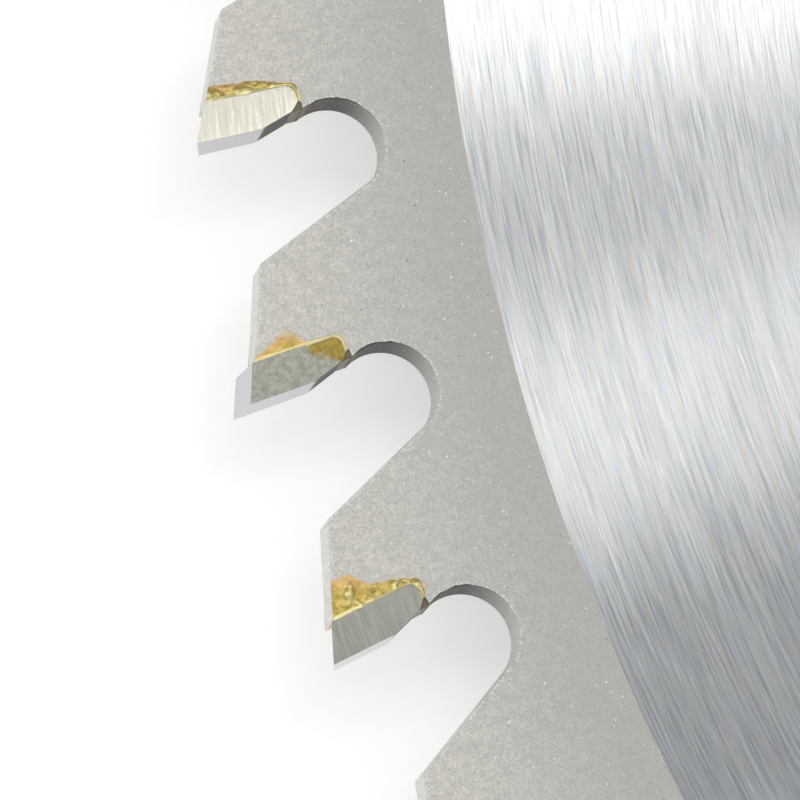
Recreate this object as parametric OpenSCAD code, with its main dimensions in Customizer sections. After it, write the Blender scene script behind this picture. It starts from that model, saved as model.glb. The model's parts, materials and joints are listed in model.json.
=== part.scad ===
// Carbide-tipped circular saw blade, lying flat.
// The bore's centre on the plate's mid-plane is the origin, and +Z is the arbor's axis.
// The teeth point counter-clockwise when seen from +Z.

/* [Plate] */
// Cutting diameter over the tallest tips
blade_d = 255; // [230:1:300]
// Number of teeth, ground in pairs
teeth = 60; // [48:2:66]
// Thickness of the steel plate
plate_t = 2; // [1.6:0.1:3]
// Diameter of the arbor bore
bore_d = 30; // [15:0.1:40]

/* [Tooth] */
// Hook angle of the tip's cutting face
hook_angle = 7.5; // [4:0.5:12]
// Fall of the land and of the tip's top behind the cutting edge
clear_angle = 17.5; // [14:0.5:20]
// How far the steel land lies below the tip's top
land_drop = 0.1; // [0.04:0.02:0.3]
// Rounding of the shoulder at the back of the land
shoulder_r = 0.35; // [0.15:0.05:0.6]
// Depth of the gullet's floor below the shorter tips
gullet_depth = 9.3; // [8.8:0.1:10.5]
// Radius of the gullet's floor
gullet_r = 2.4; // [2.2:0.05:2.6]
// How far the gullet's centre lies ahead of the cutting edge
gullet_lead = 0.7; // [0.5:0.05:0.9]
// Slope of the gullet's straight back, measured from the radius
back_angle = 31; // [28:0.5:34]

/* [Carbide tip] */
// Width of the cut, over the tip's widest corners
kerf = 2.4; // [2.2:0.05:3.4]
// Length of the tip along its cutting face
tip_len = 5.5; // [5.2:0.1:5.8]
// Thickness of the tip behind its cutting face
tip_thick = 1.9; // [1.6:0.05:2.2]
// Length of the ground cutting face, out from the relieved heel
face_len = 3.35; // [2.8:0.05:3.8]
// Angle by which the heel is relieved below the cutting face
heel_angle = 17.5; // [14:0.5:20]
// Chamfer across the tip's inner end
nose_chamfer = 0.45; // [0.3:0.05:0.6]
// Rounding of the tip's inner back corner
corner_r = 0.5; // [0.3:0.05:0.6]
// Slope of the alternate top bevel across the kerf
bevel_angle = 10.5; // [6:0.5:15]
// How much shorter every second tip stands
tooth_step = 0.5; // [0.3:0.05:0.6]
// Side clearance angle towards the blade's centre
radial_relief = 0.7; // [0.3:0.1:1]
// Side clearance angle towards the back of the tip
back_relief = 1.2; // [0.5:0.1:1.5]

/* [Braze] */
// Thickness of the braze between the tip and its seat
braze_gap = 0.1; // [0.06:0.01:0.15]
// Reach of the braze that has run out over the plate's side
spill_reach = 0.6; // [0.4:0.05:0.9]
// Thickness of that braze
spill_h = 0.08; // [0.04:0.01:0.1]
// Number of nodes that share the brazed joints
braze_groups = 6; // [2:1:10]

/* [Hidden] */
$fn = 64;
pitch = 360 / teeth;
pairs = teeth / 2;
// Angle at which an arc of the plate meets its straight neighbour
arc_meet = 8;
// Reach of the cutting blocks past the tip
reach = 2 * tip_len;
// Radius of the shorter tips' cutting corners, from which each tooth is laid out
base_r = blade_d / 2 - tooth_step;
seat_s = tip_len + braze_gap;
seat_w = tip_thick + braze_gap;

function two_digits(n) = n < 10 ? str("0", n) : str(n);
function pair_name(n) = str("tip_pair_", two_digits(n));
function braze_name(n) = str("braze_group_", n);

// A tooth is laid out with its cutting corner on +X. s runs inwards along the
// cutting face, and w runs backwards from it.
function at(s, w) = [
    base_r - s * cos(hook_angle) + w * sin(hook_angle),
    -s * sin(hook_angle) - w * cos(hook_angle)
];
function turned(p, a) = [p.x * cos(a) - p.y * sin(a), p.x * sin(a) + p.y * cos(a)];
// Distance s at which a land lying drop below the tip's top has gone back by w
function land_s(w, drop) =
    (w * sin(hook_angle + clear_angle) + drop) / cos(hook_angle + clear_angle);

gullet = [base_r - gullet_depth + gullet_r, gullet_lead];
// The gullet's centre in s and w
gullet_s = (base_r - gullet.x) * cos(hook_angle) - gullet.y * sin(hook_angle);
gullet_w = (gullet.x - base_r) * sin(hook_angle) - gullet.y * cos(hook_angle);
// Distance w at which the gullet's arc lies ahead of the steel, at s
function gullet_edge(s) = gullet_w + sqrt(gullet_r ^ 2 - (s - gullet_s) ^ 2);
// Where the seat's ledge runs out into the gullet
ledge_w = gullet_edge(seat_s);
// The straight back is a shallow chord of the gullet's arc, and this is its middle
back_out = [sin(back_angle), -cos(back_angle)];
back_foot = gullet - gullet_r * cos(arc_meet) * back_out;

// The shoulder is where the back of the gullet behind meets the land
land_out = [cos(clear_angle), -sin(clear_angle)];
land_along = [sin(clear_angle), cos(clear_angle)];
behind_out = turned(back_out, -pitch);
behind_along = [-behind_out.y, behind_out.x];
behind_foot = turned(back_foot, -pitch);
land_height = base_r * cos(clear_angle) - land_drop;
back_len = (land_height - behind_foot * land_out) / (behind_along * land_out);
shoulder = behind_foot + back_len * behind_along;
// Half the angle at the shoulder, and the round's centre between its two edges
shoulder_half = acos(-behind_along * land_along) / 2;
shoulder_run = shoulder_r * cos(arc_meet) / tan(shoulder_half);
shoulder_centre = shoulder + shoulder_run * land_along - shoulder_r * cos(arc_meet) * land_out;

// The steel outline of one tooth, from its shoulder to the next gullet's back.
// The ledge runs on into the gullet's arc, which trims it.
function tooth_points() = [
    shoulder,
    at(land_s(seat_w, land_drop), seat_w),
    at(seat_s, seat_w),
    at(seat_s, ledge_w - gullet_r / 4),
    back_foot
];

// What is rounded off a shoulder
module shoulder_corner() {
    difference() {
        polygon([
            shoulder_centre,
            shoulder - shoulder_run * behind_along + shoulder_r * behind_out,
            2 * shoulder - shoulder_centre,
            shoulder + shoulder_run * land_along + shoulder_r * land_out
        ]);
        translate(shoulder_centre) circle(shoulder_r);
    }
}

// The steel plate with its gullets, tip seats and bore
module blade_plate() {
    color("silver")
    linear_extrude(plate_t, center = true)
    difference() {
        polygon([for (i = [0:teeth - 1]) for (p = tooth_points()) turned(p, i * pitch)]);
        for (i = [0:teeth - 1]) rotate(i * pitch) {
            translate(gullet) circle(gullet_r);
            shoulder_corner();
        }
        circle(d = bore_d);
    }
}

// A tip's side outline. over is how far its face reaches past the shorter tips.
module tip_side(over) {
    heel_s = tip_len - nose_chamfer;
    heel_w = (heel_s - face_len) * tan(heel_angle);
    polygon([
        at(-over, 0),
        at(face_len, 0),
        at(heel_s, heel_w),
        at(tip_len, heel_w + nose_chamfer),
        at(tip_len, tip_thick - corner_r),
        at(tip_len - corner_r, tip_thick),
        at(land_s(tip_thick, 0) - over, tip_thick)
    ]);
    translate(at(tip_len - corner_r, tip_thick - corner_r)) circle(corner_r);
}

// One carbide tip. high is 1 where its tall corner is on +Z, and -1 on -Z.
module tip(high) {
    over = high > 0 ? 0 : tooth_step / cos(hook_angle);
    corner = at(-over, 0);
    difference() {
        linear_extrude(kerf, center = true) tip_side(over);
        // The top bevel falls away from the tall corner
        translate([corner.x, corner.y, high * kerf / 2])
        rotate([0, 0, -clear_angle])
        rotate([0, high * bevel_angle, 0])
        translate([0, -reach, -reach]) cube([reach, 2 * reach, 2 * reach]);
        // The ground sides draw in towards the centre and the back
        for (side = [0, 1]) mirror([0, 0, side])
        translate([corner.x, corner.y, kerf / 2])
        rotate([back_relief, -radial_relief, 0])
        translate([-reach, -reach, 0]) cube([2 * reach, 2 * reach, kerf]);
    }
}

// Two neighbouring tips, one of each bevel
module tip_pair(n) {
    color("gray") {
        rotate((2 * n - 2) * pitch) tip(1);
        rotate((2 * n - 1) * pitch) tip(-1);
    }
}

// The braze in the seat, seen from the side: it fills the gap behind and under the tip
module braze_layer() {
    difference() {
        polygon([
            at(land_s(tip_thick - corner_r, land_drop), tip_thick - corner_r),
            at(land_s(seat_w, land_drop), seat_w),
            at(seat_s, seat_w),
            at(seat_s, ledge_w),
            at(tip_len - corner_r, ledge_w)
        ]);
        tip_side(0);
    }
}

// The braze that has run out over the plate's side, round the tip's back and inner end
module braze_spill() {
    top_s = land_s(tip_thick + spill_reach, land_drop);
    end_w = gullet_edge(tip_len + spill_reach);
    difference() {
        polygon([
            at(top_s, tip_thick - corner_r),
            at(top_s, tip_thick + spill_reach),
            at(tip_len, tip_thick + spill_reach),
            at(tip_len + spill_reach, tip_thick),
            at(tip_len + spill_reach, end_w),
            at(tip_len - corner_r, end_w)
        ]);
        tip_side(0);
    }
}

// One brazed joint: the layer in the seat and the spill on both sides of the plate
module braze_joint() {
    linear_extrude(plate_t, center = true) braze_layer();
    for (side = [0, 1]) mirror([0, 0, side])
    translate([0, 0, plate_t / 2]) linear_extrude(spill_h) braze_spill();
}

// The joints of one share of the teeth, counted round the blade
module braze_group(n) {
    color("goldenrod")
    for (i = [0:teeth - 1])
        if (floor(i * braze_groups / teeth) == n - 1) rotate(i * pitch) braze_joint();
}

blade_plate();
for (n = [1:pairs]) tip_pair(n);
for (n = [1:braze_groups]) braze_group(n);
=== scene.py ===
# %% [markdown]
# # A carbide-tipped circular saw blade
# This notebook dresses a saw blade whose construction already exists as solids. The
# solids fix every size and place; here each surface gets the finish of the real blade:
# a bead-blasted rim, a web ground in circles, ground carbide tips and the gold braze
# that holds them. Lengths are written in millimetres and turned into metres when a
# mesh is made.

# %% Load the solids
import json
import math
import bpy
import numpy as np
from mathutils import Matrix, Vector


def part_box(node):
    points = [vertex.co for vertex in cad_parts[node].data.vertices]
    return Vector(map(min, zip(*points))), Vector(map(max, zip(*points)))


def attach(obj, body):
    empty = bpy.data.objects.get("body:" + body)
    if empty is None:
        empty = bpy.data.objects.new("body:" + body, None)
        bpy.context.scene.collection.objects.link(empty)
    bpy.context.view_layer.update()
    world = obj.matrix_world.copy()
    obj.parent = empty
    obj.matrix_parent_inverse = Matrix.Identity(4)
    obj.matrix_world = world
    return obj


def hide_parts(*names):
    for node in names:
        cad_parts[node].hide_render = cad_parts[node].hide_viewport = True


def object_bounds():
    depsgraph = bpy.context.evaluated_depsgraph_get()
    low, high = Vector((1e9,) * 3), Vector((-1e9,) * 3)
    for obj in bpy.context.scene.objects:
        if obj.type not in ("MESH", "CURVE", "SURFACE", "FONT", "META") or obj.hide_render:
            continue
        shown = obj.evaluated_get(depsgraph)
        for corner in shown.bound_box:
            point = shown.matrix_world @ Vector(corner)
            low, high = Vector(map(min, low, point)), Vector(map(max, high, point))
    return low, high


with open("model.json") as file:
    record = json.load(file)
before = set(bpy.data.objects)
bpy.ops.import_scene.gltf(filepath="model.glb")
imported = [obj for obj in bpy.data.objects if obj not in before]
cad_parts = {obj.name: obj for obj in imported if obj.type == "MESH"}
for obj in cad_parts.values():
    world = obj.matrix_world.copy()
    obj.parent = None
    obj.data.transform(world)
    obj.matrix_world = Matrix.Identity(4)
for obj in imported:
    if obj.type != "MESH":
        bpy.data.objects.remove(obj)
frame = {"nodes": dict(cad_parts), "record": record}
cad_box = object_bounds()
MM = 0.001
half_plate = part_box("blade_plate")[1].z / MM
half_kerf = cad_box[1].z / MM
# A shorter tip's cutting corner lies on +X, so the box's right side gives its radius
base_r = cad_box[1].x / MM
bore_r = frame["record"]["mounts"][0]["dims"]["r_mm"]
print("plate", 2 * half_plate, "kerf", 2 * half_kerf, "tip radius", base_r, "bore", bore_r)

# %% [markdown]
# ## The camera
# The picture is a close view of three teeth from above and outside the rim, taken with
# a long lens. A camera is easiest to keep in mind as an eye, a point that it aims at
# and a roll about that line, so those are the values here.

# %% Place the camera
EYE = Vector((-176.339, -72.894, 247.391))
AIM = Vector((-118.949, -13.79, 1.0))
ROLL = math.radians(36.63)
LENS = 241.42
SENSOR = 36.0


def aimed(eye, aim, roll):
    """A camera's matrix: it looks from eye to aim, level with the ground, then turned by roll."""
    forward = (aim - eye).normalized()
    level = forward.cross(Vector((0, 0, 1))).normalized()
    above = level.cross(forward)
    right = math.cos(roll) * level + math.sin(roll) * above
    up = math.cos(roll) * above - math.sin(roll) * level
    turn = Matrix((right, up, -forward)).transposed()
    return Matrix.Translation(eye * MM) @ turn.to_4x4()


camera = bpy.data.objects.new("camera", bpy.data.cameras.new("camera"))
bpy.context.scene.collection.objects.link(camera)
camera.matrix_world = aimed(EYE, AIM, ROLL)
camera.data.sensor_width = SENSOR
camera.data.lens = LENS
camera.data.clip_start = 0.01
bpy.context.scene.camera = camera
print("camera looks from", tuple(round(c) for c in EYE), "mm")

# %% [markdown]
# ## The steel outline
# The plate of the solids has the right form, but its arcs are flat facets at this close
# range and its edges are knife-sharp. So the outline is worked out again, from the same
# sizes, with fine arcs. One tooth is laid out with its cutting corner on +X: `s` runs
# inwards along the cutting face and `w` runs backwards from it.

# %% Sizes of a tooth
TEETH = 60
PITCH = 2 * math.pi / TEETH
HOOK = math.radians(7.5)
CLEAR = math.radians(17.5)
BACK = math.radians(31)
LAND_DROP = 0.1
SHOULDER_R = 0.35
GULLET_DEPTH = 9.3
GULLET_R = 2.4
GULLET_LEAD = 0.7
TIP_LEN = 5.5
TIP_THICK = 1.9
CORNER_R = 0.5
BRAZE_GAP = 0.1
SEAT_S = TIP_LEN + BRAZE_GAP
SEAT_W = TIP_THICK + BRAZE_GAP


def at(s, w):
    """Point of the tooth's plane at s along the cutting face and w behind it."""
    s, w = np.broadcast_arrays(np.asarray(s, float), np.asarray(w, float))
    x = base_r - s * math.cos(HOOK) + w * math.sin(HOOK)
    y = -s * math.sin(HOOK) - w * math.cos(HOOK)
    return np.stack([x, y], -1)


def turned(points, angle):
    """Points turned about the blade's axis: x cos a - y sin a, x sin a + y cos a."""
    c, s = np.cos(angle), np.sin(angle)
    x, y = points[..., 0], points[..., 1]
    return np.stack([x * c - y * s, x * s + y * c], -1)


def land_s(w, drop):
    """Distance s at which the land, drop below the tip's top, has gone back by w."""
    return (w * math.sin(HOOK + CLEAR) + drop) / math.cos(HOOK + CLEAR)


gullet = np.array([base_r - GULLET_DEPTH + GULLET_R, GULLET_LEAD])
gullet_s = (base_r - gullet[0]) * math.cos(HOOK) - gullet[1] * math.sin(HOOK)
gullet_w = (gullet[0] - base_r) * math.sin(HOOK) - gullet[1] * math.cos(HOOK)
print("gullet floor at radius", gullet[0] - GULLET_R)

# %% Lines and arcs


def stretch(a, b, count):
    """Points from a towards b: a + (b - a) t, with the end left to the next stretch."""
    t = np.arange(count)[:, None] / count
    return a + (b - a) * t


def arc(centre, radius, start, end, count):
    """Points on a circle from one angle towards another, with the end left out."""
    a = start + (end - start) * np.arange(count) / count
    return centre + radius * np.stack([np.cos(a), np.sin(a)], -1)


def angle_of(v):
    """A direction's angle, turning from +X towards +Y."""
    return math.atan2(v[1], v[0])


back_out = np.array([math.sin(BACK), -math.cos(BACK)])
behind_out = turned(back_out, -PITCH)
behind_along = np.array([-behind_out[1], behind_out[0]])
land_out = np.array([math.cos(CLEAR), -math.sin(CLEAR)])
land_along = np.array([math.sin(CLEAR), math.cos(CLEAR)])
print("the land faces", land_out.round(3), "and the tooth's back", behind_out.round(3))

# %% One tooth's edge, and the whole outline
# Points a tooth on the shoulder, land, seat wall, its corner, ledge, gullet and back
COUNTS = (8, 12, 9, 6, 4, 30, 12)


def tooth_edge(inset):
    """One tooth's edge moved into the steel by inset: each line shifts by it, the shoulder's
    radius loses it, the gullet's gains it, and the corners are where neighbours then meet."""
    back_end = gullet - (GULLET_R + inset) * back_out
    behind = turned(back_end, -PITCH)
    height = base_r * math.cos(CLEAR) - LAND_DROP - inset
    meet = behind + behind_along * (height - behind @ land_out) / (behind_along @ land_out)
    radius = SHOULDER_R - inset
    run = radius / math.tan(math.acos(-behind_along @ land_along) / 2)
    shoulder_from = meet - run * behind_along
    shoulder_to = meet + run * land_along
    land_end = at(land_s(SEAT_W + inset, LAND_DROP + inset), SEAT_W + inset)
    corner_s, corner_w = TIP_LEN - CORNER_R, TIP_THICK - CORNER_R
    corner_r = CORNER_R + BRAZE_GAP + inset
    wall_end = at(corner_s, corner_w + corner_r)
    ledge_from = at(corner_s + corner_r, corner_w)
    round_corner = -math.pi / 2 + HOOK, -math.pi + HOOK
    rise = SEAT_S + inset - gullet_s
    ledge_end = at(SEAT_S + inset, gullet_w + math.sqrt((GULLET_R + inset) ** 2 - rise ** 2))
    bend = angle_of(ledge_end - gullet), angle_of(back_end - gullet) - 2 * math.pi
    return np.concatenate([
        arc(shoulder_to - radius * land_out, radius, angle_of(behind_out), angle_of(land_out), COUNTS[0]),
        stretch(shoulder_to, land_end, COUNTS[1]),
        stretch(land_end, wall_end, COUNTS[2]),
        arc(at(corner_s, corner_w), corner_r, *round_corner, COUNTS[3]),
        stretch(ledge_from, ledge_end, COUNTS[4]),
        arc(gullet, GULLET_R + inset, *bend, COUNTS[5]),
        stretch(back_end, turned(shoulder_from, PITCH), COUNTS[6]),
    ])


tooth_turns = np.arange(TEETH)[:, None] * PITCH


def outline(inset):
    """The whole edge: one tooth's, turned into place once for each tooth."""
    return turned(tooth_edge(inset)[None], tooth_turns).reshape(-1, 2)


ledge_w = gullet_w + math.sqrt(GULLET_R ** 2 - (SEAT_S - gullet_s) ** 2)
columns = len(outline(0.0))
print(columns // TEETH, "points a tooth,", columns, "round the blade")

# %% [markdown]
# ## The plate
# The plate is a section carried round the outline. Each row of the grid is one closed
# line: the bore, the edge of the ground web, a ring under the gullets, then the steel
# edge itself with a small worn bevel, and back along the other side. The ring under the
# gullets takes its points a little behind those of the edge, so that no face folds over
# where the gullet undercuts the tooth.

# %% Sizes of the plate's rows
WEB_R = 113.73
RING_R = 116.6
BORE_CHAMFER = 0.25
BEVEL = 0.06
BEVEL_BEND = 0.3 * BEVEL
EDGE_BAND = 0.3
# Where the ring's points lie, in millimetres round it, at the start of each stretch
RING_STARTS = np.array([-7.9, -7.3, -6.0, -5.6, -5.2, -4.8, 2.9])


def ring_angles():
    """Angles of the ring's points: straight lines in the point's number, stretch by stretch."""
    ends = np.append(RING_STARTS, RING_STARTS[0] + RING_R * PITCH)
    lines = [stretch(a, b, n) for a, b, n in zip(ends[:-1, None], ends[1:, None], COUNTS)]
    local = np.concatenate(lines)[:, 0] / RING_R
    return (local[None] + tooth_turns).ravel()


spokes = np.stack([np.cos(ring_angles()), np.sin(ring_angles())], -1)
print(len(spokes), "spokes from the bore to the ring under the gullets")

# %% Make a mesh from arrays


def mesh_object(name, points, faces, materials=(), slots=None):
    """A mesh from arrays, in millimetres: points (n, 3), faces (m, 4) and a slot for each face."""
    mesh = bpy.data.meshes.new(name)
    mesh.from_pydata((points * MM).tolist(), [], faces.tolist())
    for material in materials:
        mesh.materials.append(material)
    if slots is not None:
        mesh.polygons.foreach_set("material_index", np.asarray(slots, np.int32))
    mesh.update()
    piece = bpy.data.objects.new(name, mesh)
    bpy.context.scene.collection.objects.link(piece)
    return piece


def grid_faces(rows, columns):
    """Four-cornered faces of a grid that closes on itself both ways, like a ring's skin."""
    r = np.arange(rows)[:, None]
    c = np.arange(columns)[None]
    r2, c2 = (r + 1) % rows, (c + 1) % columns
    corners = (r * columns + c, r2 * columns + c, r2 * columns + c2, r * columns + c2)
    return np.stack([k.ravel() for k in np.broadcast_arrays(*corners)], -1)


def at_height(flat, z):
    """Flat points lifted to one height."""
    return np.column_stack([flat, np.full(len(flat), z)])


print("mesh helpers ready")

# %% Rows of the plate
# The worn bevel is uneven: seeded noise moves its upper line in and out by a share of its width
WEAR_SEED = 7
WEAR = (-0.5, 0.6)
rng = np.random.default_rng(WEAR_SEED)
worn = outline(BEVEL)
worn += (worn - outline(0.0)) * rng.uniform(*WEAR, (columns, 1))
flat_rows = [
    (bore_r * spokes, half_plate - BORE_CHAMFER),
    ((bore_r + BORE_CHAMFER) * spokes, half_plate),
    (WEB_R * spokes, half_plate),
    (RING_R * spokes, half_plate),
    (outline(EDGE_BAND), half_plate),
    (worn, half_plate),
    (outline(BEVEL_BEND), half_plate - BEVEL_BEND),
    (outline(0.0), half_plate - BEVEL),
]
upper = [at_height(flat, z) for flat, z in flat_rows]
lower = [row * (1, 1, -1) for row in reversed(upper)]
plate_points = np.concatenate(upper + lower)
plate_faces = grid_faces(len(upper + lower), columns)
# Finishes of the strips between rows: 0 blasted rim, 1 ground web, 2 cut edge
side_slots = [2, 1, 0, 0, 0, 2, 2]
strip_slots = side_slots + [2] + side_slots[::-1] + [2]
face_slots = np.repeat(strip_slots, columns)
print(len(plate_points), "points and", 2 * len(plate_faces), "triangles in the plate")

# %% [markdown]
# ## Tools for the finishes
# A finish is a small net of nodes. The first helpers add one node each, and take either
# a plain value or another node's output, so that a finish reads like a formula. The last
# ones start a finish or a group of nodes.

# %% Helpers that add one node


def put(tree, kind, **settings):
    """Add a node of a kind, with its settings."""
    node = tree.nodes.new(kind)
    for name, value in settings.items():
        setattr(node, name, value)
    return node


def feed(tree, socket, value):
    """Link an output into a socket, or set the socket's own value."""
    if isinstance(value, bpy.types.NodeSocket):
        tree.links.new(value, socket)
    else:
        socket.default_value = value


def calc(tree, operation, *values):
    """One sum, product or other operation on values."""
    node = put(tree, "ShaderNodeMath", operation=operation)
    for socket, value in zip(node.inputs, values):
        feed(tree, socket, value)
    return node.outputs[0]


def vector_of(tree, x, y, z):
    """Three values as one vector."""
    node = put(tree, "ShaderNodeCombineXYZ")
    for socket, value in zip(node.inputs, (x, y, z)):
        feed(tree, socket, value)
    return node.outputs[0]


def rising(tree, value, low, high):
    """A smooth step from 0 at low to 1 at high. With low above high it falls."""
    node = put(tree, "ShaderNodeMapRange", interpolation_type="SMOOTHSTEP")
    for name, number in (("Value", value), ("From Min", low), ("From Max", high)):
        feed(tree, node.inputs[name], number)
    return node.outputs["Result"]


def mixed(tree, factor, a, b):
    """A colour between a, at factor 0, and b, at factor 1."""
    node = put(tree, "ShaderNodeMix", data_type="RGBA")
    for name, value in (("Factor_Float", factor), ("A_Color", a), ("B_Color", b)):
        socket = next(s for s in node.inputs if s.identifier == name)
        feed(tree, socket, value)
    return next(s for s in node.outputs if s.identifier == "Result_Color")


print("helpers for one node ready")

# %% Helpers for textures and colours


def cloudy(tree, vector, scale, detail=2.0, rough=0.5):
    """Smooth noise from 0 to 1, with finer noise added to it as detail."""
    node = put(tree, "ShaderNodeTexNoise")
    feed(tree, node.inputs["Vector"], vector)
    for name, number in (("Scale", scale), ("Detail", detail), ("Roughness", rough)):
        node.inputs[name].default_value = number
    return node.outputs["Fac"]


def bumped(tree, height, strength, distance, normal=None):
    """The surface's normal, or another one, disturbed by a height."""
    node = put(tree, "ShaderNodeBump")
    if normal is not None:
        feed(tree, node.inputs["Normal"], normal)
    node.inputs["Strength"].default_value = strength
    node.inputs["Distance"].default_value = distance
    feed(tree, node.inputs["Height"], height)
    return node.outputs["Normal"]


def srgb(r, g, b):
    """A colour as a screen shows it, 0 to 255, turned into the linear values that light adds up in."""
    c = np.array([r, g, b]) / 255
    linear = np.where(c < 0.04045, c / 12.92, ((c + 0.055) / 1.055) ** 2.4)
    return (*linear.tolist(), 1.0)


print("mid grey is", round(srgb(128, 128, 128)[0], 3), "in linear light")

# %% Helpers for a whole finish or group


def new_finish(name):
    """A material with one Principled shader, and the place on the object as its first value."""
    material = bpy.data.materials.new(name)
    material.use_nodes = True
    tree = material.node_tree
    tree.nodes.clear()
    shader = put(tree, "ShaderNodeBsdfPrincipled")
    output = put(tree, "ShaderNodeOutputMaterial")
    tree.links.new(shader.outputs["BSDF"], output.inputs["Surface"])
    place = put(tree, "ShaderNodeTexCoord").outputs["Object"]
    return material, tree, shader, place


def new_group(name, inputs, outputs):
    """An empty node group with named sockets. Each is a name and a kind, such as Float."""
    tree = bpy.data.node_groups.new(name, "ShaderNodeTree")
    for side, sockets in (("INPUT", inputs), ("OUTPUT", outputs)):
        for label, kind in sockets.items():
            tree.interface.new_socket(label, in_out=side, socket_type="NodeSocket" + kind)
    return tree, put(tree, "NodeGroupInput").outputs, put(tree, "NodeGroupOutput").inputs


def use_group(tree, group, **values):
    """Add a group with its inputs set, and give its outputs."""
    node = put(tree, "ShaderNodeGroup", node_tree=group)
    for name, value in values.items():
        feed(tree, node.inputs[name.replace("_", " ")], value)
    return node.outputs


print("helpers for finishes ready")

# %% [markdown]
# ## Effects that several finishes share
# Four effects come back on more than one surface. *Round the blade* turns a place into
# a radius, a direction, the number of the tooth that it belongs to, and the same `s` and
# `w` that the outline used, here called inward and behind. *Distance past a corner* says
# how far a place lies outside an L-shaped seat or the back of a tip. *Grinding lines* is
# a noise that is stretched along the circle, as a grinding wheel leaves it: the direction
# on the circle is scaled gently and the radius strongly, which has no seam. *Blasting* is
# the fine grain of a bead-blasted face, with dark pits, broad clouds and a mask of bright
# glints, which are highlights painted into the colour of the finishes that use them.

# %% Round the blade
round_tree, given, wanted = new_group(
    "round_the_blade",
    {"Place": "Vector"},
    {"Radius": "Float", "Direction": "Vector", "Tooth": "Float", "Odd": "Float",
     "Inward": "Float", "Behind": "Float"},
)
flat_place = put(round_tree, "ShaderNodeVectorMath", operation="MULTIPLY")
feed(round_tree, flat_place.inputs[0], given["Place"])
flat_place.inputs[1].default_value = (1, 1, 0)
length = put(round_tree, "ShaderNodeVectorMath", operation="LENGTH")
feed(round_tree, length.inputs[0], flat_place.outputs[0])
unit = put(round_tree, "ShaderNodeVectorMath", operation="NORMALIZE")
feed(round_tree, unit.inputs[0], flat_place.outputs[0])
radius_mm = calc(round_tree, "DIVIDE", length.outputs["Value"], MM)
# Half a pitch of turn puts the ends of the count in the gullets, clear of every tip
half_turn = put(round_tree, "ShaderNodeMapping")
half_turn.inputs["Rotation"].default_value = (0, 0, PITCH / 2)
feed(round_tree, half_turn.inputs["Vector"], given["Place"])
sides = put(round_tree, "ShaderNodeSeparateXYZ")
feed(round_tree, sides.inputs[0], half_turn.outputs[0])
bearing = calc(round_tree, "ARCTAN2", sides.outputs["Y"], sides.outputs["X"])
turns = calc(round_tree, "DIVIDE", bearing, PITCH)
tooth_number = calc(round_tree, "FLOOR", turns)
from_tooth = calc(round_tree, "SUBTRACT", calc(round_tree, "SUBTRACT", turns, tooth_number), 0.5)
swing = calc(round_tree, "MULTIPLY", from_tooth, PITCH)
depth = calc(round_tree, "MULTIPLY_ADD", calc(round_tree, "COSINE", swing), radius_mm, -base_r)
aside = calc(round_tree, "MULTIPLY", calc(round_tree, "SINE", swing), radius_mm)
inward = calc(round_tree, "MULTIPLY_ADD", depth, -math.cos(HOOK),
              calc(round_tree, "MULTIPLY", aside, -math.sin(HOOK)))
behind = calc(round_tree, "MULTIPLY_ADD", depth, math.sin(HOOK),
              calc(round_tree, "MULTIPLY", aside, -math.cos(HOOK)))
feed(round_tree, wanted["Radius"], radius_mm)
feed(round_tree, wanted["Direction"], unit.outputs[0])
feed(round_tree, wanted["Tooth"], tooth_number)
feed(round_tree, wanted["Odd"], calc(round_tree, "FLOORED_MODULO", tooth_number, 2.0))
feed(round_tree, wanted["Inward"], inward)
feed(round_tree, wanted["Behind"], behind)
print(len(round_tree.nodes), "nodes tell where a place is on the blade")

# %% Distance past a corner
# In millimetres: 0 between the front and the wall and above the ledge, growing outside them
past_tree, given, wanted = new_group(
    "distance_past_corner",
    {"Inward": "Float", "Behind": "Float", "Front": "Float", "Wall": "Float", "Ledge": "Float"},
    {"Distance": "Float"},
)
squares = 0.0
for ahead, line in (("Behind", "Wall"), ("Inward", "Ledge"), ("Front", "Behind")):
    past = calc(past_tree, "MAXIMUM", calc(past_tree, "SUBTRACT", given[ahead], given[line]), 0.0)
    squares = calc(past_tree, "MULTIPLY_ADD", past, past, squares)
feed(past_tree, wanted["Distance"], calc(past_tree, "SQRT", squares))
print(len(past_tree.nodes), "nodes measure the distance past a corner")

# %% Grinding lines
lines_tree, given, wanted = new_group(
    "grinding_lines",
    {"Direction": "Vector", "Radius": "Float", "Stretch": "Float", "Fineness": "Float", "Seed": "Float"},
    {"Lines": "Float"},
)
spread = put(lines_tree, "ShaderNodeVectorMath", operation="SCALE")
feed(lines_tree, spread.inputs[0], given["Direction"])
feed(lines_tree, spread.inputs["Scale"], given["Stretch"])
parts = put(lines_tree, "ShaderNodeSeparateXYZ")
feed(lines_tree, parts.inputs[0], spread.outputs[0])
across = calc(lines_tree, "MULTIPLY_ADD", given["Radius"], given["Fineness"], given["Seed"])
stretched = vector_of(lines_tree, parts.outputs["X"], parts.outputs["Y"], across)
feed(lines_tree, wanted["Lines"], cloudy(lines_tree, stretched, 1.0, 3.0, 0.6))
print(len(lines_tree.nodes), "nodes draw grinding lines")

# %% Blasting
# The noise at which a pit is deepest and at which a painted glint is full
DEEPEST_PIT = 0.86
FULL_PAINTED_GLINT = 0.12
blast_tree, given, wanted = new_group(
    "blasting",
    {"Place": "Vector", "Size": "Float", "Pit Share": "Float", "Glint Share": "Float"},
    {"Grain": "Float", "Pits": "Float", "Painted Glints": "Float", "Clouds": "Float"},
)
finer = put(blast_tree, "ShaderNodeVectorMath", operation="SCALE")
feed(blast_tree, finer.inputs[0], given["Place"])
feed(blast_tree, finer.inputs["Scale"], calc(blast_tree, "DIVIDE", 1.0, given["Size"]))
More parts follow.
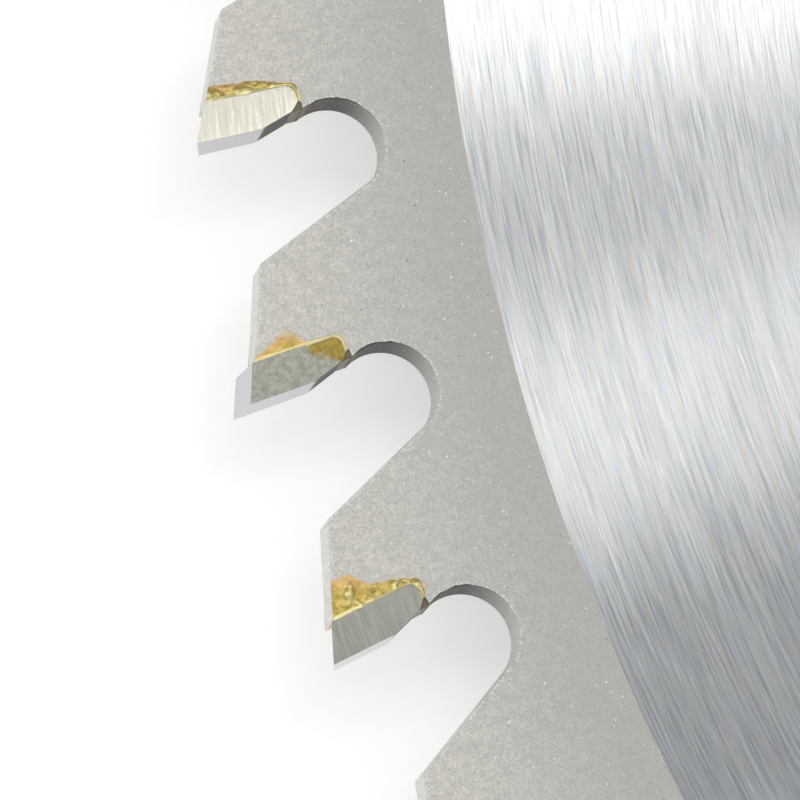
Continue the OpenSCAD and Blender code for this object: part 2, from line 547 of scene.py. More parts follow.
# Pits and painted glints take their noise from another place than the grain does
moved = put(blast_tree, "ShaderNodeVectorMath", operation="ADD")
feed(blast_tree, moved.inputs[0], finer.outputs[0])
moved.inputs[1].default_value = (37.0, 11.0, 5.0)
feed(blast_tree, wanted["Grain"], cloudy(blast_tree, finer.outputs[0], 1.0, 3.0, 0.65))
spots = cloudy(blast_tree, moved.outputs[0], 0.8, 1.0)
first_pit = calc(blast_tree, "SUBTRACT", 1.0, given["Pit Share"])
feed(blast_tree, wanted["Pits"], rising(blast_tree, spots, first_pit, DEEPEST_PIT))
painted_glint_noise = cloudy(blast_tree, moved.outputs[0], 0.95, 0.0)
feed(blast_tree, wanted["Painted Glints"], rising(blast_tree, painted_glint_noise, given["Glint Share"], FULL_PAINTED_GLINT))
feed(blast_tree, wanted["Clouds"], cloudy(blast_tree, finer.outputs[0], 0.24, 3.0, 0.6))
print("groups:", [g.name for g in bpy.data.node_groups])

# %% [markdown]
# ## The finishes of the plate
# The rim is blasted to a warm, even grey. The web is ground in circles: its grooves
# spread a reflection across themselves, so the shader is given a direction across the
# grooves and a strong anisotropy. The cut edges keep the lines of the tool that cut them.

# %% Blasted rim
RIM_GRAIN = 0.13 * MM
# The radii between which a painted glow makes the rim lighter
RIM_PAINTED_GLOW = (114.0, 125.0)


def blasted_grey_with_glow(tree, radius, blast):
    """The rim's grey: a glow painted lighter towards the teeth, clouded, and darker in the grain's
    hollows.
    """
    # Painted light: the rim's colour grows lighter towards the teeth, as a glow
    outward = rising(tree, radius, *RIM_PAINTED_GLOW)
    painted_glow_grey = mixed(tree, outward, srgb(207, 204, 198), srgb(237, 234, 226))
    mottle = rising(tree, blast["Clouds"], 0.3, 0.7)
    cloudy_grey = mixed(tree, calc(tree, "MULTIPLY", mottle, 0.38), painted_glow_grey, srgb(191, 188, 182))
    hollows = rising(tree, blast["Grain"], 0.7, 0.3)
    return mixed(tree, calc(tree, "MULTIPLY", hollows, 0.55), cloudy_grey, srgb(185, 182, 175))


rim, tree, shader, place = new_finish("blasted_rim")
around = use_group(tree, round_tree, Place=place)
blast = use_group(tree, blast_tree, Place=place, Size=RIM_GRAIN, Pit_Share=0.33, Glint_Share=0.25)
edge = put(tree, "ShaderNodeAttribute", attribute_name="edge").outputs["Fac"]
grained = blasted_grey_with_glow(tree, around["Radius"], blast)
pitted = mixed(tree, calc(tree, "MULTIPLY", blast["Pits"], 0.6), grained, srgb(96, 92, 86))
# Painted highlight: glints are bright specks painted into the colour; the roughness is lower there too
with_painted_glints = mixed(tree, calc(tree, "MULTIPLY", blast["Painted Glints"], 0.8), pitted, srgb(250, 250, 248))
# Painted highlight: bright specks are painted along the cut edges, where burrs would catch the light
painted_burr_glints = calc(tree, "MULTIPLY", rising(tree, edge, 0.3, 0.9), rising(tree, blast["Grain"], 0.5, 0.62))
with_burr_glints = mixed(tree, calc(tree, "MULTIPLY", painted_burr_glints, 0.75), with_painted_glints, srgb(246, 246, 242))
feed(tree, shader.inputs["Base Color"], with_burr_glints)
shader.inputs["Metallic"].default_value = 0.85
feed(tree, shader.inputs["Roughness"], calc(tree, "MULTIPLY_ADD", blast["Painted Glints"], -0.25, 0.62))
feed(tree, shader.inputs["Normal"], bumped(tree, blast["Grain"], 0.3, 0.02 * MM))
print(len(tree.nodes), "nodes in the rim's finish")

# %% Ground web


def leaning(tree, outward, amount):
    """The surface's normal, leaned by an amount along the ground lines, which run round the
    axis: straight across the direction that points outwards."""
    along = put(tree, "ShaderNodeVectorMath", operation="CROSS_PRODUCT")
    along.inputs[0].default_value = (0, 0, 1)
    feed(tree, along.inputs[1], outward)
    step = put(tree, "ShaderNodeVectorMath", operation="SCALE")
    feed(tree, step.inputs[0], along.outputs[0])
    feed(tree, step.inputs["Scale"], amount)
    leaned = put(tree, "ShaderNodeVectorMath", operation="ADD")
    feed(tree, leaned.inputs[0], put(tree, "ShaderNodeNewGeometry").outputs["Normal"])
    feed(tree, leaned.inputs[1], step.outputs[0])
    unit = put(tree, "ShaderNodeVectorMath", operation="NORMALIZE")
    feed(tree, unit.inputs[0], leaned.outputs[0])
    return unit.outputs[0]


web, tree, shader, place = new_finish("ground_web")
around = use_group(tree, round_tree, Place=place)


def web_lines(stretch_by, fineness, seed):
    """Grinding lines on the web: more stretch gives shorter lines, more fineness thinner ones."""
    return use_group(tree, lines_tree, Direction=around["Direction"], Radius=around["Radius"],
                     Stretch=stretch_by, Fineness=fineness, Seed=seed)["Lines"]


# Broad bands, fine dark lines and bright scratches, and some lines with a warm or a cool tint
fine = web_lines(28.0, 7.5, 0.0)
broad = web_lines(11.0, 1.1, 40.0)
steel = mixed(tree, rising(tree, broad, 0.25, 0.75), srgb(185, 187, 187), srgb(200, 202, 201))
steel = mixed(tree, rising(tree, fine, 0.6, 0.25), steel, srgb(162, 165, 167))
scratch = rising(tree, web_lines(34.0, 10.0, 70.0), 0.58, 0.78)
steel = mixed(tree, calc(tree, "MULTIPLY", scratch, 0.55), steel, srgb(238, 239, 236))
warm = rising(tree, web_lines(34.0, 4.0, 90.0), 0.5, 0.75)
steel = mixed(tree, calc(tree, "MULTIPLY", warm, 0.25), steel, srgb(214, 196, 172))
cool = rising(tree, web_lines(30.0, 3.0, 150.0), 0.5, 0.75)
steel = mixed(tree, calc(tree, "MULTIPLY", cool, 0.25), steel, srgb(168, 182, 204))
feed(tree, shader.inputs["Base Color"], steel)
shader.inputs["Metallic"].default_value = 1.0
feed(tree, shader.inputs["Roughness"], calc(tree, "MULTIPLY_ADD", fine, 0.07, 0.18))
shader.inputs["Anisotropic"].default_value = 1.0
feed(tree, shader.inputs["Tangent"], around["Direction"])
# Each ground line leans a little along its length, so that it catches light of its own
LINE_LEAN = 0.02
lean = calc(tree, "MULTIPLY_ADD", web_lines(30.0, 11.0, 120.0), LINE_LEAN, -LINE_LEAN / 2)
feed(tree, shader.inputs["Normal"], leaning(tree, around["Direction"], lean))
print(len(tree.nodes), "nodes in the web's finish")

# %% Cut edge
# A tool mark's size along X, Y and Z
CUT_MARK = (0.08, 0.08, 1.2)
CUT_GRAIN = 0.09 * MM
# Distances from the seat over which the painted shade fades and the flash of braze grows
PAINTED_SHADE_FADES = (1.8, 5.2)
FLASH_GROWS = (0.5, 0.1)
# The land's ground finish ends between these places inward
LAND_ENDS = (5.6, 5.2)
cut, tree, shader, place = new_finish("cut_edge")
upright = put(tree, "ShaderNodeMapping")
upright.inputs["Scale"].default_value = [1 / (size * MM) for size in CUT_MARK]
feed(tree, upright.inputs["Vector"], place)
marks = cloudy(tree, upright.outputs[0], 1.0, 3.0, 0.6)
spots = use_group(tree, blast_tree, Place=place, Size=CUT_GRAIN, Pit_Share=0.33, Glint_Share=0.27)
around = use_group(tree, round_tree, Place=place)
from_seat = use_group(tree, past_tree, Inward=around["Inward"], Behind=around["Behind"],
                      Front=ledge_w, Wall=SEAT_W, Ledge=SEAT_S)["Distance"]
# Painted shade: the gullet wall is darker near the seat; the land was ground bright with the tip
shaded_near_seat = mixed(tree, rising(tree, from_seat, *PAINTED_SHADE_FADES), srgb(86, 84, 81), srgb(206, 204, 200))
# A flash of braze tints the corner under the tip's nose
flashed = mixed(tree, rising(tree, from_seat, *FLASH_GROWS), shaded_near_seat, srgb(138, 130, 106))
land = rising(tree, around["Inward"], *LAND_ENDS)
wall = mixed(tree, land, flashed, srgb(222, 221, 214))
deep_marks = calc(tree, "MULTIPLY", rising(tree, marks, 0.75, 0.25), 0.3)
wall = mixed(tree, deep_marks, wall, srgb(96, 94, 92))
# Painted highlight: glints are bright specks painted into the colour
wall = mixed(tree, calc(tree, "MULTIPLY", spots["Painted Glints"], 0.7), wall, srgb(244, 243, 240))
wall = mixed(tree, calc(tree, "MULTIPLY", spots["Pits"], 0.6), wall, srgb(84, 80, 76))
feed(tree, shader.inputs["Base Color"], wall)
shader.inputs["Metallic"].default_value = 0.5
feed(tree, shader.inputs["Roughness"], calc(tree, "MULTIPLY_ADD", marks, 0.2, 0.45))
feed(tree, shader.inputs["Normal"], bumped(tree, marks, 0.25, 0.02 * MM))
print(len(tree.nodes), "nodes in the cut edge's finish")

# %% Make the plate
PLATE_SHARP = math.radians(15)
plate = mesh_object("steel_plate", plate_points, plate_faces, (rim, web, cut), face_slots)
plate.data.set_sharp_from_angle(angle=PLATE_SHARP)
plate.data.polygons.foreach_set("use_smooth", np.ones(len(plate_faces), bool))
# The rows of the worn bevel, on both sides, are marked as edge
edge_rows = [0, 0, 0, 0, 0, 1, 1, 1]
edge_mark = np.repeat(edge_rows + edge_rows[::-1], columns)
plate.data.attributes.new("edge", "FLOAT", "POINT").data.foreach_set("value", edge_mark.astype(np.float32))
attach(plate, "root")
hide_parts("blade_plate")
print("plate made")

# %% [markdown]
# ## The carbide tips
# The solids of the tips are right as they are: flat ground faces and crisp edges. They
# keep their meshes and get a finish. A tip whose tall corner is on a side was ground
# there last, so that side shows fine lines; the other side still has the mottled skin
# of the sintered carbide and a film of braze near its inner end.

# %% Ground carbide
CARBIDE_GRAIN = 0.09 * MM
# The cutting face's length, and where the heel past it grows dark
FACE_LEN = 3.35
HEEL_DARKENS = (FACE_LEN - 0.05, FACE_LEN + 0.35)
# A face within about 45 degrees of level is a side of the tip
LEVEL = 0.7
carbide, tree, shader, place = new_finish("ground_carbide")
around = use_group(tree, round_tree, Place=place)
facing = put(tree, "ShaderNodeSeparateXYZ")
feed(tree, facing.inputs[0], put(tree, "ShaderNodeNewGeometry").outputs["Normal"])
below = calc(tree, "LESS_THAN", facing.outputs["Z"], 0.0)
side = calc(tree, "GREATER_THAN", calc(tree, "ABSOLUTE", facing.outputs["Z"]), LEVEL)
# The skin is on the upper side of an odd tip and the lower side of an even one
unground = calc(tree, "ABSOLUTE", calc(tree, "SUBTRACT", around["Odd"], below))
skin = calc(tree, "MULTIPLY", side, unground)
ground = use_group(tree, lines_tree, Direction=around["Direction"], Radius=around["Radius"],
                   Stretch=60.0, Fineness=6.0, Seed=around["Tooth"])["Lines"]
ground = calc(tree, "MULTIPLY", ground, side)
blast = use_group(tree, blast_tree, Place=place, Size=CARBIDE_GRAIN, Pit_Share=0.34, Glint_Share=0.24)
bright = mixed(tree, rising(tree, ground, 0.3, 0.7), srgb(184, 181, 169), srgb(204, 201, 188))
# The heel past the cutting face was not ground again; it is given a darker colour, less metal and more
# roughness
heel = rising(tree, around["Inward"], *HEEL_DARKENS)
plain_face = mixed(tree, heel, srgb(196, 196, 199), srgb(96, 97, 95))
bright = mixed(tree, side, plain_face, bright)
dull = mixed(tree, rising(tree, blast["Clouds"], 0.3, 0.7), srgb(168, 166, 155), srgb(194, 192, 180))
dull = mixed(tree, rising(tree, blast["Grain"], 0.55, 0.2), dull, srgb(150, 147, 138))
dull = mixed(tree, calc(tree, "MULTIPLY", blast["Pits"], 0.7), dull, srgb(84, 80, 74))
# Painted highlight: glints are bright specks painted into the skin's colour
dull = mixed(tree, calc(tree, "MULTIPLY", blast["Painted Glints"], 0.6), dull, srgb(240, 238, 228))
print(len(tree.nodes), "nodes in the carbide's colours")

# %% Film of braze on the skin side
# Where the film starts, in millimetres inward, with the place behind and a smear added
FILM_STARTS = (6.3, 7.0)
# Its painted highlight line grows between these distances from the tip's back
PAINTED_HIGHLIGHT_GROWS = (0.13, 0.05)
smear = cloudy(tree, place, 1 / (0.7 * MM), 3.0, 0.6)
inner_half = calc(tree, "MULTIPLY_ADD", around["Behind"], 1.3, around["Inward"])
film = rising(tree, calc(tree, "MULTIPLY_ADD", smear, 2.0, inner_half), *FILM_STARTS)
film = calc(tree, "MULTIPLY", skin, film)
gilt = mixed(tree, rising(tree, blast["Clouds"], 0.3, 0.7), srgb(152, 131, 62), srgb(188, 167, 92))
coated = mixed(tree, film, mixed(tree, skin, bright, dull), gilt)
# Painted highlight: the film ends in a bright line painted round the back of the tip
past_corner = use_group(tree, past_tree, Inward=around["Inward"], Behind=around["Behind"],
                        Front=0.0, Wall=TIP_THICK - CORNER_R, Ledge=TIP_LEN - CORNER_R)["Distance"]
line = rising(tree, past_corner, *(CORNER_R - d for d in PAINTED_HIGHLIGHT_GROWS))
painted_rim_highlight = calc(tree, "MULTIPLY", calc(tree, "MULTIPLY", film, line), 0.85)
feed(tree, shader.inputs["Base Color"], mixed(tree, painted_rim_highlight, coated, srgb(236, 230, 200)))
print(len(tree.nodes), "nodes with the film")

# %% Shine of the carbide
SIDE_LEAN = 0.05
dark_heel = calc(tree, "MULTIPLY", heel, calc(tree, "SUBTRACT", 1.0, side))
feed(tree, shader.inputs["Metallic"], calc(tree, "MULTIPLY_ADD", dark_heel, -0.5, 0.9))
smooth = calc(tree, "MULTIPLY_ADD", skin, 0.37, 0.17)
feed(tree, shader.inputs["Roughness"], calc(tree, "MULTIPLY_ADD", dark_heel, 0.6, smooth))
shader.inputs["Anisotropic"].default_value = 0.8
feed(tree, shader.inputs["Tangent"], around["Direction"])
relief = calc(tree, "MULTIPLY_ADD", calc(tree, "SUBTRACT", blast["Grain"], ground), skin, ground)
# A tip's sides were ground by themselves, so they lean a little and mirror other light than the web
own_lean = leaning(tree, around["Direction"], calc(tree, "MULTIPLY", side, SIDE_LEAN))
feed(tree, shader.inputs["Normal"], bumped(tree, relief, 0.25, 0.012 * MM, own_lean))
tips = [piece for name, piece in frame["nodes"].items() if name.startswith("tip_pair")]
for piece in tips:
    piece.data.materials.clear()
    piece.data.materials.append(carbide)
print("carbide given to", len(tips), "pairs of tips")

# %% [markdown]
# ## The braze
# Braze ran into the seat while it was liquid, and out over the plate's sides, where it
# froze as a lumpy fillet with a ragged edge. Each joint is a ribbon that fills the gap
# and, on both sides, a skin over the plate: `u` follows the tip's back, its corner and
# its inner end, and marks count the way out from the tip. The skin's height is a hollow
# curve from the tip down, with a swell and bubbles, and its reach is a slope and a hump
# that differ from tooth to tooth.

# %% The lines that a joint follows
STEPS_ALONG = 120
STEPS_BODY = 16
STEPS_STAIN = 6
STEPS_OUT = STEPS_BODY + STEPS_STAIN
# The braze starts a little under the tip, so that no gap shows
TUCK = 0.02
HEEL = math.radians(17.5)
NOSE = 0.45
heel_s = TIP_LEN - NOSE
heel_w = (heel_s - FACE_LEN) * math.tan(HEEL)


def along(line, count):
    """Points spaced evenly along a line of straight pieces."""
    run = np.concatenate([[0], np.cumsum(np.linalg.norm(np.diff(line, axis=0), axis=1))])
    where = np.linspace(0, run[-1], count)
    return np.stack([np.interp(where, run, line[:, k]) for k in (0, 1)], -1)


def tip_line(offset):
    """Round the tip's back at a distance from it: straight down the back, a quarter turn
    about the corner's centre, and straight along the inner end."""
    turn = np.linspace(0, math.pi / 2, 9)
    round_s = TIP_LEN - CORNER_R + (CORNER_R + offset) * np.sin(turn)
    round_w = TIP_THICK - CORNER_R + (CORNER_R + offset) * np.cos(turn)
    top = at(land_s(TIP_THICK + offset, LAND_DROP), TIP_THICK + offset)
    end = at(TIP_LEN + offset, heel_w + NOSE)
    return np.vstack([top, at(round_s, round_w), end])


print("the tip's heel ends", round(heel_w, 2), "mm behind its face")

# %% Humps, lumps and bubbles
BUBBLES = 40
BUBBLE_RADII = (0.12, 0.34)
# The height of a bubble as a share of its radius
BUBBLE_RISE = (0.12, 0.26)


def hump(u, middle, width):
    """A bell: 1 at its middle, falling as exp of minus the square."""
    return np.exp(-((u - middle) / width) ** 2)


def lumps(shape, draw, passes):
    """Smooth seeded noise from 0 to 1: random values, averaged with their neighbours."""
    field = draw.random(shape)
    for _ in range(passes):
        near = np.pad(field, 1, mode="edge")
        beside = near[:-2, 1:-1] + near[2:, 1:-1] + near[1:-1, :-2] + near[1:-1, 2:]
        field = beside + 2 * field
    return (field - field.min()) / (field.max() - field.min())


def bubbles(flat, draw):
    """Round lumps on a sheet: the sum of many low domes, h (1 - d^2 / r^2)^2, whose
    middles are drawn from the sheet's own points."""
    points = flat.reshape(-1, 2)
    middles = points[draw.integers(0, len(points), BUBBLES)]
    sizes = draw.uniform(*BUBBLE_RADII, BUBBLES)
    heights = sizes * draw.uniform(*BUBBLE_RISE, BUBBLES)
    apart = ((points[:, None] - middles[None]) ** 2).sum(-1)
    domes = heights * np.clip(1 - apart / sizes ** 2, 0, None) ** 2
    return domes.sum(1).reshape(flat.shape[:2])


print(BUBBLES, "bubbles on each side of a joint")

# %% The skin of braze on one side of a joint
# How far the braze ran on the three teeth of the picture: at the tip's outer end, at its
# inner end, and in a blob, with the blob's place and width along u. Others draw their own.
SEEN = {
    30: (0.9, 0.2, 0.25, 0.4, 0.22),
    31: (0.4, 0.1, 1.2, 0.27, 0.15),
    32: (1.7, 0.4, 0.5, 0.12, 0.12),
}
LEAST_SPILL = (0.6, 0.15, 0.0, 0.1, 0.08)
MOST_SPILL = (1.5, 0.45, 0.6, 0.35, 0.14)
RAGGED = 0.14
LEAST_REACH = 0.08
STAIN = 0.3
# Heights: of the film that is everywhere, of the hollow fillet at the tip, and of the swell
FILM = 0.006
FILLET = 0.09
SWELL = 0.035
THIN_SHARE = 0.15
body_marks = np.linspace(0, 1, STEPS_BODY)
stain_marks = np.linspace(1, 2, STEPS_STAIN + 1)[1:]
marks_out = np.concatenate([body_marks, stain_marks])


def skin_of_braze(thin, spill, draw):
    """One side's skin over the plate, as points above a face at height 0, with each point's
    distance from the tip and the height of the bubbles there. Marks go out from the tip: 0 to
    1 is the body, with a hollow curve, a low swell and bubbles as its height, and 1 to 2 is
    the flat stain round it. A thin skin has next to no body. A soft limit, the height over
    the fourth root of 1 + (height / room)^4, keeps it lower than the sides of the tips."""
    outer, inner, blob, place, width = spill
    u = np.linspace(0, 1, STEPS_ALONG)
    ragged = lumps((STEPS_ALONG, 1), draw, 8)[:, 0] - 0.5
    reach = inner + (outer - inner) * (1 - u) ** 1.4 + blob * hump(u, place, width) + RAGGED * ragged
    reach = np.maximum(reach, LEAST_REACH) * (1 - 0.5 * hump(u, 1.0, 0.12))
    near = along(tip_line(-TUCK), STEPS_ALONG)
    out = along(tip_line(1.0), STEPS_ALONG) - near
    out /= np.linalg.norm(out, axis=1, keepdims=True)
    body = np.minimum(marks_out, 1)
    gone = reach[:, None] * body + STAIN * np.maximum(marks_out - 1, 0)
    flat = near[:, None] + out[:, None] * gone[..., None]
    froth = bubbles(flat, draw)
    thick = THIN_SHARE if thin else 1.0
    high = FILM + thick * (FILLET * (1 - body) ** 5 + (SWELL + froth) * (1 - body ** 6))
    room = half_kerf - half_plate
    high = high / (1 + (high / room) ** 4) ** 0.25
    high[:, -1] = -TUCK
    points = np.concatenate([flat, high[..., None]], -1).reshape(-1, 3)
    return points, np.column_stack([gone.ravel(), froth.ravel()])


def sheet_faces(rows, columns):
    """Four-cornered faces of an open grid."""
    r, c = np.meshgrid(np.arange(rows - 1), np.arange(columns - 1), indexing="ij")
    first = (r * columns + c).ravel()
    return np.stack([first, first + columns, first + columns + 1, first + 1], -1)


print(STEPS_ALONG * STEPS_OUT, "points in a skin")

# %% The layer in the seat
# How far the layer stays below the plate's faces and short of the ledge's end
LAYER_BELOW = 0.05
LAYER_SHORT = 0.03


def braze_ribbon():
    """The layer in the seat: four lines, on the tip and on the seat, above and below. At its
    inner end it fills the corner under the tip's nose, from the tip's heel to the gullet."""
    nose_end = at(heel_s, heel_w)
    level_end = at(SEAT_S, ledge_w + LAYER_SHORT)
    inner = along(np.vstack([tip_line(-TUCK), nose_end]), STEPS_ALONG)
    outer = along(np.vstack([tip_line(BRAZE_GAP), level_end]), STEPS_ALONG)
    top = half_plate - LAYER_BELOW
    corners = ((inner, top), (outer, top), (outer, -top), (inner, -top))
    return np.stack([at_height(flat, z) for flat, z in corners], 1).reshape(-1, 3)


def ribbon_faces(rows):
    """Faces round a ribbon of four lines, with both ends closed."""
    r = np.arange(rows - 1)[:, None] * 4
    k = np.arange(4)[None]
    k2 = (k + 1) % 4
    around = [x.ravel() for x in np.broadcast_arrays(r + k, r + 4 + k, r + 4 + k2, r + k2)]
    last = (rows - 1) * 4
    ends = [[0, 1, 2, 3], [last + 3, last + 2, last + 1, last]]
    return np.vstack([np.stack(around, -1), ends])


ribbon = braze_ribbon()
print(len(ribbon), "points in a layer")

# %% Braze finish
DOME_SIZE = 0.32 * MM
# The froth's height over which a highlight is painted on it, and the distance from the tip of the painted
# highlight line
PAINTED_FROTH_HIGHLIGHT = (0.03, 0.075)
PAINTED_LINE_HIGHLIGHT = (0.26, 0.14)
# Places inward between which the copper fades, and the ground end of the layer stops
COPPER_FADES = (4.0, 2.4)
LAYER_GROUND = (2.4, 1.4)


def domes(tree, vector, size):
    """Round domes side by side: one minus the square of the distance to the nearest seed."""
    node = put(tree, "ShaderNodeTexVoronoi")
    feed(tree, node.inputs["Vector"], vector)
    node.inputs["Scale"].default_value = 1 / size
    distance = node.outputs["Distance"]
    return calc(tree, "SUBTRACT", 1.0, calc(tree, "MULTIPLY", distance, distance))


braze, tree, shader, place = new_finish("frozen_braze")
blast = use_group(tree, blast_tree, Place=place, Size=RIM_GRAIN, Pit_Share=0.31, Glint_Share=0.25)
around = use_group(tree, round_tree, Place=place)
out_mark = put(tree, "ShaderNodeAttribute", attribute_name="out").outputs["Fac"]
thin_mark = put(tree, "ShaderNodeAttribute", attribute_name="thin").outputs["Fac"]
from_tip = put(tree, "ShaderNodeAttribute", attribute_name="from_tip").outputs["Fac"]
froth = put(tree, "ShaderNodeAttribute", attribute_name="froth").outputs["Fac"]
# A thin skin lets go of its colour nearer to the tip
spent = calc(tree, "MULTIPLY_ADD", thin_mark, 0.4, out_mark)
gold = mixed(tree, rising(tree, blast["Clouds"], 0.3, 0.7), srgb(164, 142, 70), srgb(206, 184, 114))
gold = mixed(tree, calc(tree, "MULTIPLY", blast["Pits"], 0.5), gold, srgb(92, 76, 40))
# Painted highlight: bubbles are painted paler at their tops
painted_bubble_highlights = calc(tree, "MULTIPLY", rising(tree, froth, *PAINTED_FROTH_HIGHLIGHT), 0.75)
gold = mixed(tree, painted_bubble_highlights, gold, srgb(244, 228, 164))
# Its rim is coppery, most of all towards the tip's outer end
coppery = rising(tree, calc(tree, "MULTIPLY_ADD", blast["Clouds"], 0.8, spent), 1.0, 1.5)
outer_end = calc(tree, "MULTIPLY_ADD", rising(tree, around["Inward"], *COPPER_FADES), 0.45, 0.25)
stained = mixed(tree, calc(tree, "MULTIPLY", coppery, outer_end), gold, srgb(208, 162, 118))
# Farther out the stain gives way to the grey of the rim
faded = rising(tree, calc(tree, "MULTIPLY_ADD", blast["Grain"], 0.8, spent), 1.3, 1.85)
stained = mixed(tree, faded, stained, blasted_grey_with_glow(tree, around["Radius"], blast))
# Painted highlight: a bright line is painted along the tip, weaker on a thin skin
painted_line_share = calc(tree, "MULTIPLY_ADD", thin_mark, -0.5, 1.0)
painted_line_highlight = calc(tree, "MULTIPLY", rising(tree, from_tip, *PAINTED_LINE_HIGHLIGHT), painted_line_share)
with_line_highlight = mixed(tree, painted_line_highlight, stained, srgb(236, 224, 166))
# The layer in the seat is dull, but it was ground bright with the land at its outer end
layer = mixed(tree, rising(tree, around["Inward"], *LAYER_GROUND), srgb(104, 98, 82), srgb(218, 212, 190))
finished = mixed(tree, calc(tree, "LESS_THAN", out_mark, -0.5), with_line_highlight, layer)
feed(tree, shader.inputs["Base Color"], finished)
feed(tree, shader.inputs["Metallic"], calc(tree, "MULTIPLY_ADD", faded, -0.15, 1.0))
shine = calc(tree, "MULTIPLY_ADD", blast["Grain"], 0.25, 0.22)
feed(tree, shader.inputs["Roughness"], calc(tree, "MULTIPLY_ADD", faded, 0.28, shine))
bubbly = calc(tree, "MULTIPLY", domes(tree, place, DOME_SIZE), calc(tree, "SUBTRACT", 1.0, faded))
relief = calc(tree, "MULTIPLY_ADD", blast["Grain"], 0.15, bubbly)
feed(tree, shader.inputs["Normal"], bumped(tree, relief, 0.22, 0.05 * MM))
print(len(tree.nodes), "nodes in the braze's finish")

# %% One tooth's joint
JOINT_SEED = 300


def braze_points(tooth):
    """One tooth's joint: its two skins and its ribbon, turned to its place."""
    draw = np.random.default_rng(JOINT_SEED + tooth)
    spills = draw.uniform(LEAST_SPILL, MOST_SPILL, (2, len(MOST_SPILL)))
    thin_above = tooth % 2 == 1
    above, marks_above = skin_of_braze(thin_above, SEEN.get(tooth, spills[0]), draw)
    below, marks_below = skin_of_braze(not thin_above, spills[1], draw)
    above = above + (0, 0, half_plate)
    below = (below + (0, 0, half_plate)) * (1, 1, -1)
    points = np.vstack([above, below, ribbon])
    points[:, :2] = turned(points[:, :2], tooth * PITCH)
    skin_marks = np.tile(marks_out, STEPS_ALONG)
    out = np.concatenate([skin_marks, skin_marks, np.full(len(ribbon), -1.0)])
    thin = np.repeat([thin_above, not thin_above, False], [len(above), len(below), len(ribbon)])
    tip_marks = np.vstack([marks_above, marks_below, np.tile([1.0, 0.0], (len(ribbon), 1))])
    return points, np.column_stack([out, thin, tip_marks])


print(len(braze_points(0)[0]), "points in a joint")

# %% Make the joints
GROUPS = 6
BRAZE_SHARP = math.radians(50)
SKIN_POINTS = STEPS_ALONG * STEPS_OUT
sheet = sheet_faces(STEPS_ALONG, STEPS_OUT)
strip = ribbon_faces(STEPS_ALONG)
joint_faces = np.vstack([sheet, sheet[:, ::-1] + SKIN_POINTS, strip + 2 * SKIN_POINTS])
for group in range(GROUPS):
    points, marks, faces, count = [], [], [], 0
    for tooth in range(group * TEETH // GROUPS, (group + 1) * TEETH // GROUPS):
        joint, joint_marks = braze_points(tooth)
        faces.append(joint_faces + count)
        points.append(joint)
        marks.append(joint_marks)
        count += len(joint)
    piece = mesh_object("braze_%d" % (group + 1), np.vstack(points), np.vstack(faces), (braze,))
    piece.data.polygons.foreach_set("use_smooth", np.ones(len(piece.data.polygons), bool))
    piece.data.set_sharp_from_angle(angle=BRAZE_SHARP)
    for name, values in zip(("out", "thin", "from_tip", "froth"), np.vstack(marks).T):
        attribute = piece.data.attributes.new(name, "FLOAT", "POINT")
        attribute.data.foreach_set("value", values.astype(np.float32))
    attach(piece, "root")
    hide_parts("braze_group_%d" % (group + 1))
print(GROUPS, "groups of joints made")

# %% [markdown]
# ## The stage
# The blade lies a little above a white table under soft light. The ground web acts as a
# row of tiny round mirrors, so it shows the lamps as bands across its grooves: a broad box
# behind the blade and a short narrow one nearer overhead give the bright, grey, bright
# and dark bands of the picture. Two more boxes stand low beside the blade.

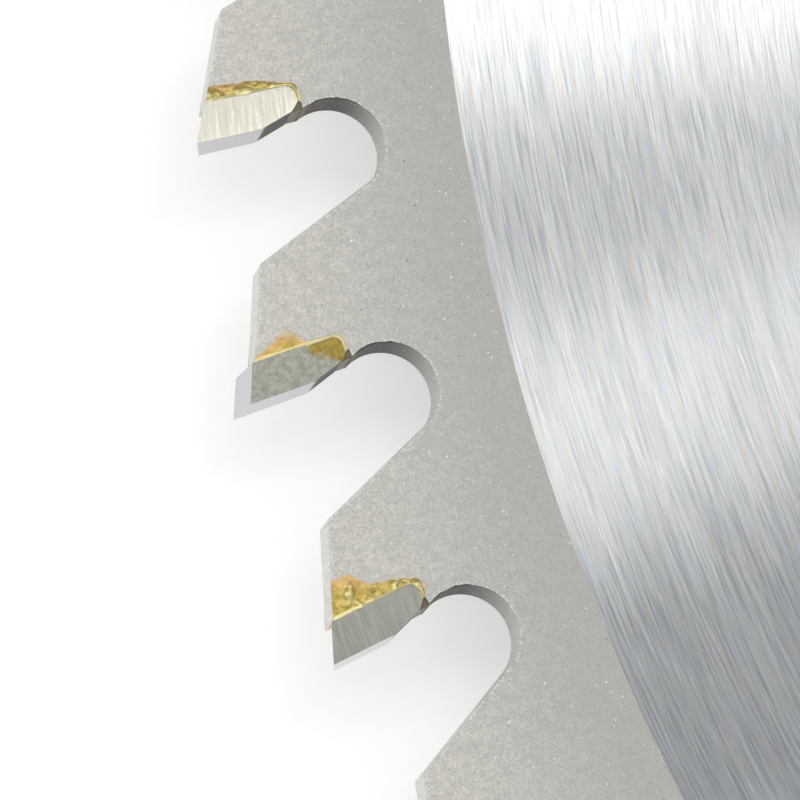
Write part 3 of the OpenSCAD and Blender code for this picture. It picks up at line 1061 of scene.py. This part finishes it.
# %% Table and sky
scene = bpy.context.scene
scene.view_settings.view_transform = "Standard"
TABLE = 3000.0
STAND = 4.0
TABLE_GLOW = 0.31
SKY_GLOW = 0.58
corners = np.array([[-1, -1], [1, -1], [1, 1], [-1, 1]]) * TABLE / 2
table = mesh_object("table", at_height(corners, -half_kerf - STAND), np.array([[0, 1, 2, 3]]))
white, tree, shader, place = new_finish("white_table")
shader.inputs["Base Color"].default_value = (0.86, 0.86, 0.87, 1)
shader.inputs["Roughness"].default_value = 0.9
shader.inputs["Specular IOR Level"].default_value = 0.1
# The glow is there for the eye and for mirrors, and doesn't light the blade from below
rays = put(tree, "ShaderNodeLightPath").outputs
seen = calc(tree, "MAXIMUM", rays["Is Camera Ray"], rays["Is Glossy Ray"])
seen = calc(tree, "MAXIMUM", seen, rays["Is Transmission Ray"])
shader.inputs["Emission Color"].default_value = (1, 1, 1, 1)
feed(tree, shader.inputs["Emission Strength"], calc(tree, "MULTIPLY", seen, TABLE_GLOW))
table.data.materials.append(white)

sky = bpy.data.worlds.new("sky")
sky.use_nodes = True
background = sky.node_tree.nodes["Background"]
background.inputs["Color"].default_value = (0.94, 0.965, 1.0, 1)
background.inputs["Strength"].default_value = SKY_GLOW
scene.world = sky
print("table", round(half_kerf + STAND, 2), "mm below the middle of the blade")

# %% Lamps
LAMP_COLOUR = (1.0, 0.985, 0.955)


def panel(name, middle, width, depth, glow):
    """A rectangular lamp that faces straight down until it is turned. Its middle is in metres
    from the spot under the camera's aim, and glow is how bright its face looks."""
    lamp = bpy.data.lights.new(name, "AREA")
    lamp.shape = "RECTANGLE"
    lamp.size, lamp.size_y = width, depth
    lamp.energy = glow * math.pi * width * depth
    lamp.color = LAMP_COLOUR
    box = bpy.data.objects.new(name, lamp)
    scene.collection.objects.link(box)
    box.location = Vector((AIM.x, AIM.y, 0)) * MM + Vector(middle)
    return box


panel("broad_box", (-0.6, 0.41, 1.0), 3.0, 0.18, 2.15)
narrow = panel("narrow_box", (0.221, 0.215, 1.0), 0.2, 0.02, 10.8)
narrow.rotation_euler = (0, 0, math.radians(29.5))
# The side boxes are turned to face that spot
for name, middle, glow in (("left_box", (-1.0, -0.1, 0.4), 2.3), ("right_box", (0.9, -0.9, 0.5), 0.9)):
    side_box = panel(name, middle, 1.6, 0.6, glow)
    side_box.rotation_euler = Vector(middle).to_track_quat("Z", "Y").to_euler()
print("lamps:", [lamp.name for lamp in bpy.data.lights])

# %% Count the meshes
print(len(bpy.data.meshes), "meshes in the scene")
